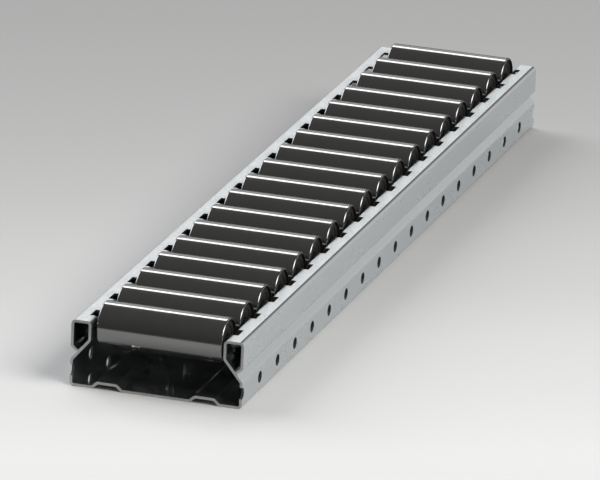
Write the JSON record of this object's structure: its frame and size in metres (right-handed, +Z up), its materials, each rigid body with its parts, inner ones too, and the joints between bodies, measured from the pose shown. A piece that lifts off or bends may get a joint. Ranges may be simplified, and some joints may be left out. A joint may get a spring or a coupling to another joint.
{
  "type": "roller track",
  "caption": "Straight zinc-plated sheet-steel roller track: a folded channel carrying a close row of free-turning dark steel rollers on drop-in hexagonal axles.",
  "frame": {"origin": "middle of the underside of the channel, halfway along the track", "axes": "+X across the track to its right, +Y along the track away from the viewer's end, +Z up"},
  "size_m": [0.1634, 0.936, 0.0755],
  "materials": {
    "zinc_steel": "zinc-plated cold-formed sheet, satin",
    "dark_roller_steel": "smooth near-black gloss on steel tube",
    "axle_steel": "oiled drawn bar, satin"
  },
  "bodies": {
    "track": {"track_channel": "zinc_steel", "axle_01": "axle_steel", "axle_02": "axle_steel", "axle_03": "axle_steel", "axle_04": "axle_steel", "axle_05": "axle_steel", "axle_06": "axle_steel", "axle_07": "axle_steel", "axle_08": "axle_steel", "axle_09": "axle_steel", "axle_10": "axle_steel", "axle_11": "axle_steel", "axle_12": "axle_steel", "axle_13": "axle_steel", "axle_14": "axle_steel", "axle_15": "axle_steel", "axle_16": "axle_steel", "axle_17": "axle_steel", "axle_18": "axle_steel"},
    "roller_01": {"roller_01": "dark_roller_steel"},
    "roller_02": {"roller_02": "dark_roller_steel"},
    "roller_03": {"roller_03": "dark_roller_steel"},
    "roller_04": {"roller_04": "dark_roller_steel"},
    "roller_05": {"roller_05": "dark_roller_steel"},
    "roller_06": {"roller_06": "dark_roller_steel"},
    "roller_07": {"roller_07": "dark_roller_steel"},
    "roller_08": {"roller_08": "dark_roller_steel"},
    "roller_09": {"roller_09": "dark_roller_steel"},
    "roller_10": {"roller_10": "dark_roller_steel"},
    "roller_11": {"roller_11": "dark_roller_steel"},
    "roller_12": {"roller_12": "dark_roller_steel"},
    "roller_13": {"roller_13": "dark_roller_steel"},
    "roller_14": {"roller_14": "dark_roller_steel"},
    "roller_15": {"roller_15": "dark_roller_steel"},
    "roller_16": {"roller_16": "dark_roller_steel"},
    "roller_17": {"roller_17": "dark_roller_steel"},
    "roller_18": {"roller_18": "dark_roller_steel"}
  },
  "joints": [
    {"name": "roller_01_spin", "type": "hinge", "parent": "track", "child": "roller_01", "pos_m": [0, -0.442, 0.054], "axis": [1, 0, 0], "continuous": true},
    {"name": "roller_02_spin", "type": "hinge", "parent": "track", "child": "roller_02", "pos_m": [0, -0.39, 0.054], "axis": [1, 0, 0], "continuous": true},
    {"name": "roller_03_spin", "type": "hinge", "parent": "track", "child": "roller_03", "pos_m": [0, -0.338, 0.054], "axis": [1, 0, 0], "continuous": true},
    {"name": "roller_04_spin", "type": "hinge", "parent": "track", "child": "roller_04", "pos_m": [0, -0.286, 0.054], "axis": [1, 0, 0], "continuous": true},
    {"name": "roller_05_spin", "type": "hinge", "parent": "track", "child": "roller_05", "pos_m": [0, -0.234, 0.054], "axis": [1, 0, 0], "continuous": true},
    {"name": "roller_06_spin", "type": "hinge", "parent": "track", "child": "roller_06", "pos_m": [0, -0.182, 0.054], "axis": [1, 0, 0], "continuous": true},
    {"name": "roller_07_spin", "type": "hinge", "parent": "track", "child": "roller_07", "pos_m": [0, -0.13, 0.054], "axis": [1, 0, 0], "continuous": true},
    {"name": "roller_08_spin", "type": "hinge", "parent": "track", "child": "roller_08", "pos_m": [0, -0.078, 0.054], "axis": [1, 0, 0], "continuous": true},
    {"name": "roller_09_spin", "type": "hinge", "parent": "track", "child": "roller_09", "pos_m": [0, -0.026, 0.054], "axis": [1, 0, 0], "continuous": true},
    {"name": "roller_10_spin", "type": "hinge", "parent": "track", "child": "roller_10", "pos_m": [0, 0.026, 0.054], "axis": [1, 0, 0], "continuous": true},
    {"name": "roller_11_spin", "type": "hinge", "parent": "track", "child": "roller_11", "pos_m": [0, 0.078, 0.054], "axis": [1, 0, 0], "continuous": true},
    {"name": "roller_12_spin", "type": "hinge", "parent": "track", "child": "roller_12", "pos_m": [0, 0.13, 0.054], "axis": [1, 0, 0], "continuous": true},
    {"name": "roller_13_spin", "type": "hinge", "parent": "track", "child": "roller_13", "pos_m": [0, 0.182, 0.054], "axis": [1, 0, 0], "continuous": true},
    {"name": "roller_14_spin", "type": "hinge", "parent": "track", "child": "roller_14", "pos_m": [0, 0.234, 0.054], "axis": [1, 0, 0], "continuous": true},
    {"name": "roller_15_spin", "type": "hinge", "parent": "track", "child": "roller_15", "pos_m": [0, 0.286, 0.054], "axis": [1, 0, 0], "continuous": true},
    {"name": "roller_16_spin", "type": "hinge", "parent": "track", "child": "roller_16", "pos_m": [0, 0.338, 0.054], "axis": [1, 0, 0], "continuous": true},
    {"name": "roller_17_spin", "type": "hinge", "parent": "track", "child": "roller_17", "pos_m": [0, 0.39, 0.054], "axis": [1, 0, 0], "continuous": true},
    {"name": "roller_18_spin", "type": "hinge", "parent": "track", "child": "roller_18", "pos_m": [0, 0.442, 0.054], "axis": [1, 0, 0], "continuous": true}
  ]
}
